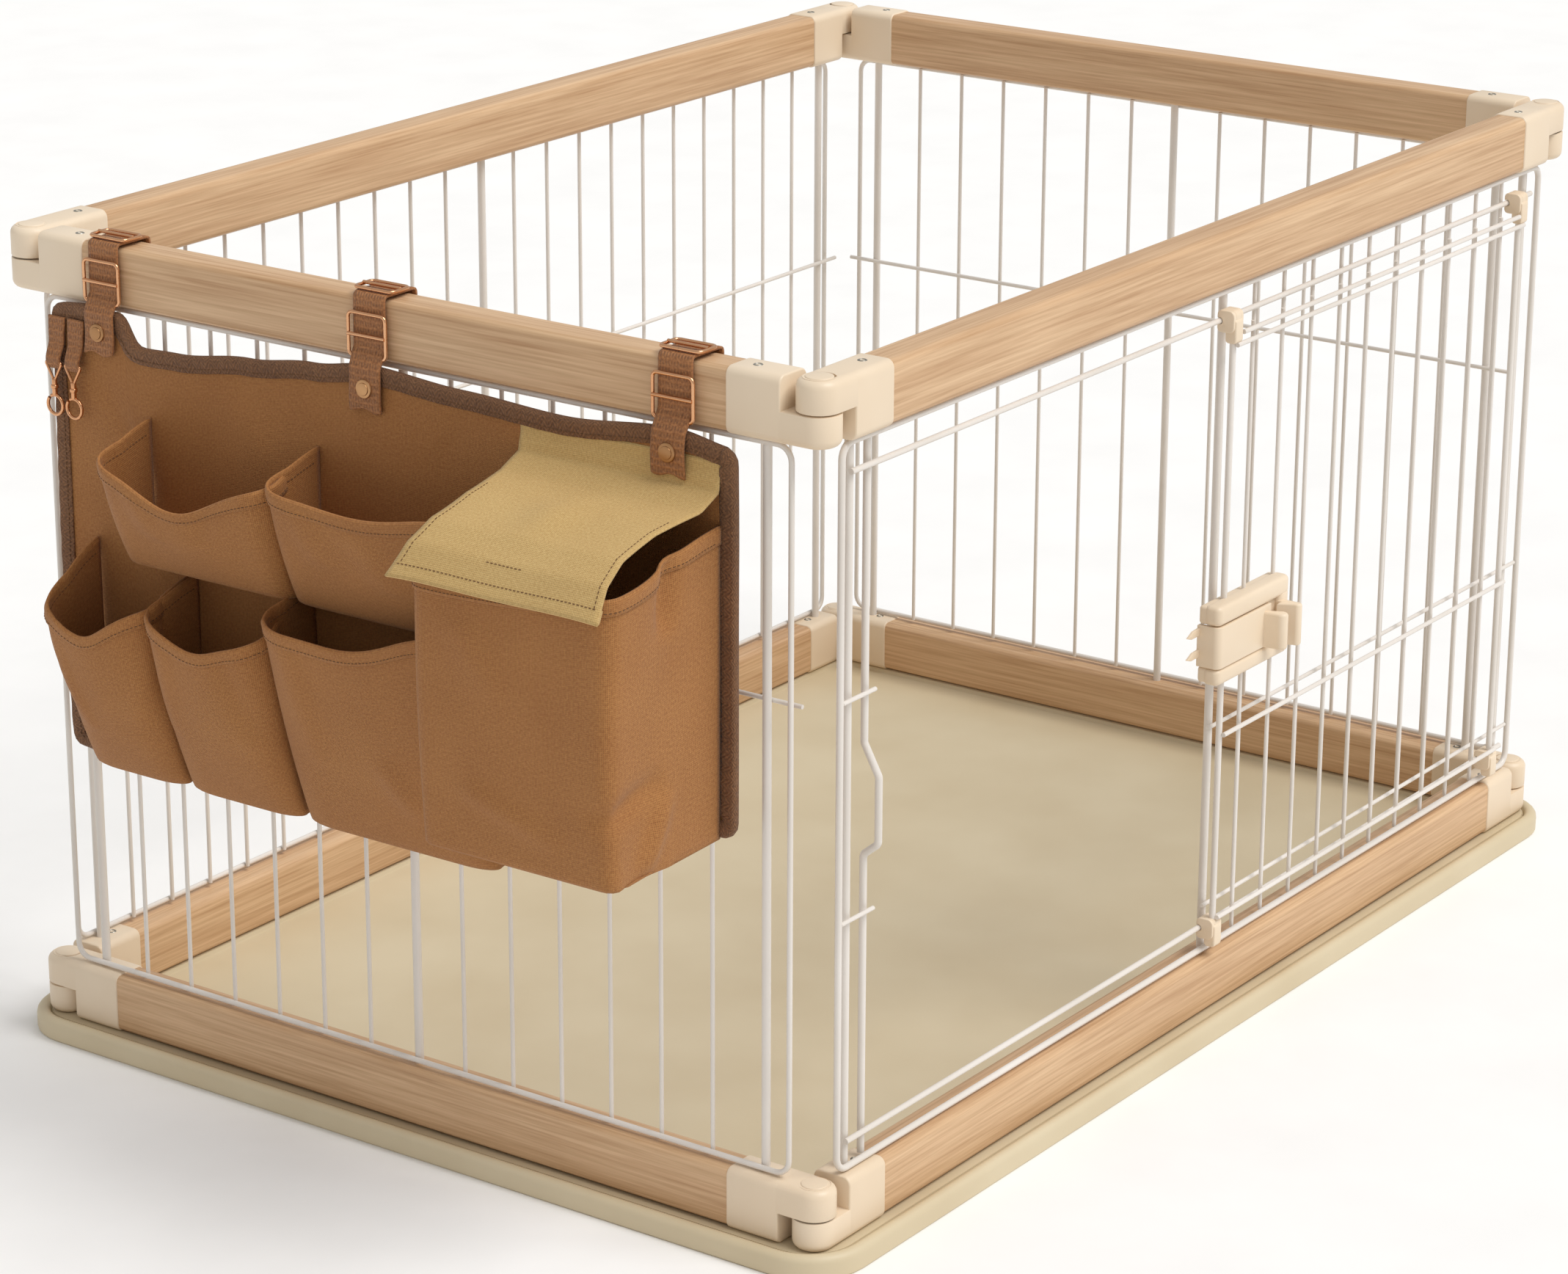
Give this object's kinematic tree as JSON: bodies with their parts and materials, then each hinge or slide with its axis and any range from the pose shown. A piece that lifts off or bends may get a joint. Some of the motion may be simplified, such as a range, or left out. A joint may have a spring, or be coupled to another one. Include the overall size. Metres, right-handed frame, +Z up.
{
  "type": "pet playpen",
  "caption": "Rectangular pet playpen of wood-look railed wire panels with corner pins, a sliding front door with latch, a floor tray and a canvas organizer strapped to one rail.",
  "frame": {"origin": "centre of the tray's underside, where the ribs cross", "axes": "+Z up, +X along the long side; the door panel faces -Y and the organizer hangs on the -X end"},
  "size_m": [1.1025, 0.7018, 0.5782],
  "materials": {
    "tray_plastic": "satin moulded",
    "oak_rail": "fine oak grain, satin",
    "beige_plastic": "fine satin",
    "cream_wire": "powder coated, satin",
    "screw_steel": "zinc plated",
    "canvas": "waxed cotton canvas, plain weave",
    "flap_canvas": "waxed cotton canvas, plain weave",
    "binding_twill": "herringbone twill tape",
    "webbing": "ribbed webbing",
    "rose_metal": "polished copper plate",
    "snap_brass": "antique brass"
  },
  "bodies": {
    "tray": {"tray": "tray_plastic"},
    "pen_frame": {"front_top_rail": "oak_rail", "front_bottom_rail": "oak_rail", "front_top_caps": "beige_plastic", "front_bottom_caps": "beige_plastic", "front_thick_rods": "cream_wire", "front_wire_loop": "cream_wire", "front_wires": "cream_wire", "back_top_rail": "oak_rail", "back_bottom_rail": "oak_rail", "back_top_caps": "beige_plastic", "back_bottom_caps": "beige_plastic", "back_thick_rods": "cream_wire", "back_wire_loop": "cream_wire", "back_wires": "cream_wire", "left_top_rail": "oak_rail", "left_bottom_rail": "oak_rail", "left_top_caps": "beige_plastic", "left_bottom_caps": "beige_plastic", "left_thick_rods": "cream_wire", "left_wire_loop": "cream_wire", "left_wires": "cream_wire", "right_top_rail": "oak_rail", "right_bottom_rail": "oak_rail", "right_top_caps": "beige_plastic", "right_bottom_caps": "beige_plastic", "right_thick_rods": "cream_wire", "right_wire_loop": "cream_wire", "right_wires": "cream_wire", "guide_rods": "cream_wire", "keeper_bar": "cream_wire", "cap_screws": "screw_steel", "strap_loops": "webbing", "strap_buckles": "rose_metal"},
    "door": {"door_frame": "cream_wire", "door_wires": "cream_wire", "door_clips": "beige_plastic", "latch_housing": "beige_plastic", "latch_back_plate": "beige_plastic", "latch_spring": "screw_steel"},
    "latch_slider": {"latch_slider": "beige_plastic"},
    "organizer": {"organizer_back": "canvas", "organizer_binding": "binding_twill", "big_pocket": "canvas", "upper_pockets": "canvas", "lower_pockets": "canvas", "strap_tails": "webbing", "strap_snaps": "snap_brass", "hook_tabs": "webbing"},
    "flap": {"pocket_flap": "flap_canvas"},
    "front_hook": {"front_hook": "rose_metal"},
    "rear_hook": {"rear_hook": "rose_metal"},
    "pin_top_fl": {"pin_top_fl": "beige_plastic"},
    "pin_bottom_fl": {"pin_bottom_fl": "beige_plastic"},
    "pin_top_fr": {"pin_top_fr": "beige_plastic"},
    "pin_bottom_fr": {"pin_bottom_fr": "beige_plastic"},
    "pin_top_bl": {"pin_top_bl": "beige_plastic"},
    "pin_bottom_bl": {"pin_bottom_bl": "beige_plastic"},
    "pin_top_br": {"pin_top_br": "beige_plastic"},
    "pin_bottom_br": {"pin_bottom_br": "beige_plastic"}
  },
  "joints": [
    {"name": "frame_lift", "type": "slide", "parent": "tray", "child": "pen_frame", "axis": [0, 0, 1], "range_m": [0, 0.12]},
    {"name": "door_slide", "type": "slide", "parent": "pen_frame", "child": "door", "axis": [1, 0, 0], "range_m": [-0.377, 0]},
    {"name": "latch_slide", "type": "slide", "parent": "door", "child": "latch_slider", "axis": [1, 0, 0], "range_m": [0, 0.01], "stiffness_N_per_m": 300, "deforming": ["latch_spring"]},
    {"name": "pin_top_fl_pull", "type": "slide", "parent": "pen_frame", "child": "pin_top_fl", "axis": [0, 0, 1], "range_m": [0, 0.045]},
    {"name": "pin_bottom_fl_pull", "type": "slide", "parent": "pen_frame", "child": "pin_bottom_fl", "axis": [0, 0, 1], "range_m": [0, 0.045]},
    {"name": "pin_top_fr_pull", "type": "slide", "parent": "pen_frame", "child": "pin_top_fr", "axis": [0, 0, 1], "range_m": [0, 0.045]},
    {"name": "pin_bottom_fr_pull", "type": "slide", "parent": "pen_frame", "child": "pin_bottom_fr", "axis": [0, 0, 1], "range_m": [0, 0.045]},
    {"name": "pin_top_bl_pull", "type": "slide", "parent": "pen_frame", "child": "pin_top_bl", "axis": [0, 0, 1], "range_m": [0, 0.045]},
    {"name": "pin_bottom_bl_pull", "type": "slide", "parent": "pen_frame", "child": "pin_bottom_bl", "axis": [0, 0, 1], "range_m": [0, 0.045]},
    {"name": "pin_top_br_pull", "type": "slide", "parent": "pen_frame", "child": "pin_top_br", "axis": [0, 0, 1], "range_m": [0, 0.045]},
    {"name": "pin_bottom_br_pull", "type": "slide", "parent": "pen_frame", "child": "pin_bottom_br", "axis": [0, 0, 1], "range_m": [0, 0.045]},
    {"name": "organizer_swing", "type": "hinge", "parent": "pen_frame", "child": "organizer", "pos_m": [-0.4845, 0, 0.5322], "axis": [0, 1, 0], "range_deg": [0, 25]},
    {"name": "flap_lift", "type": "hinge", "parent": "organizer", "child": "flap", "pos_m": [-0.4905, 0, 0.4975], "axis": [0, 1, 0], "range_deg": [0, 85]},
    {"name": "front_hook_swing", "type": "hinge", "parent": "organizer", "child": "front_hook", "pos_m": [-0.494, 0, 0.4862], "axis": [0, 1, 0], "range_deg": [0, 30]},
    {"name": "rear_hook_swing", "type": "hinge", "parent": "organizer", "child": "rear_hook", "pos_m": [-0.494, 0, 0.4862], "axis": [0, 1, 0], "range_deg": [0, 30]}
  ]
}
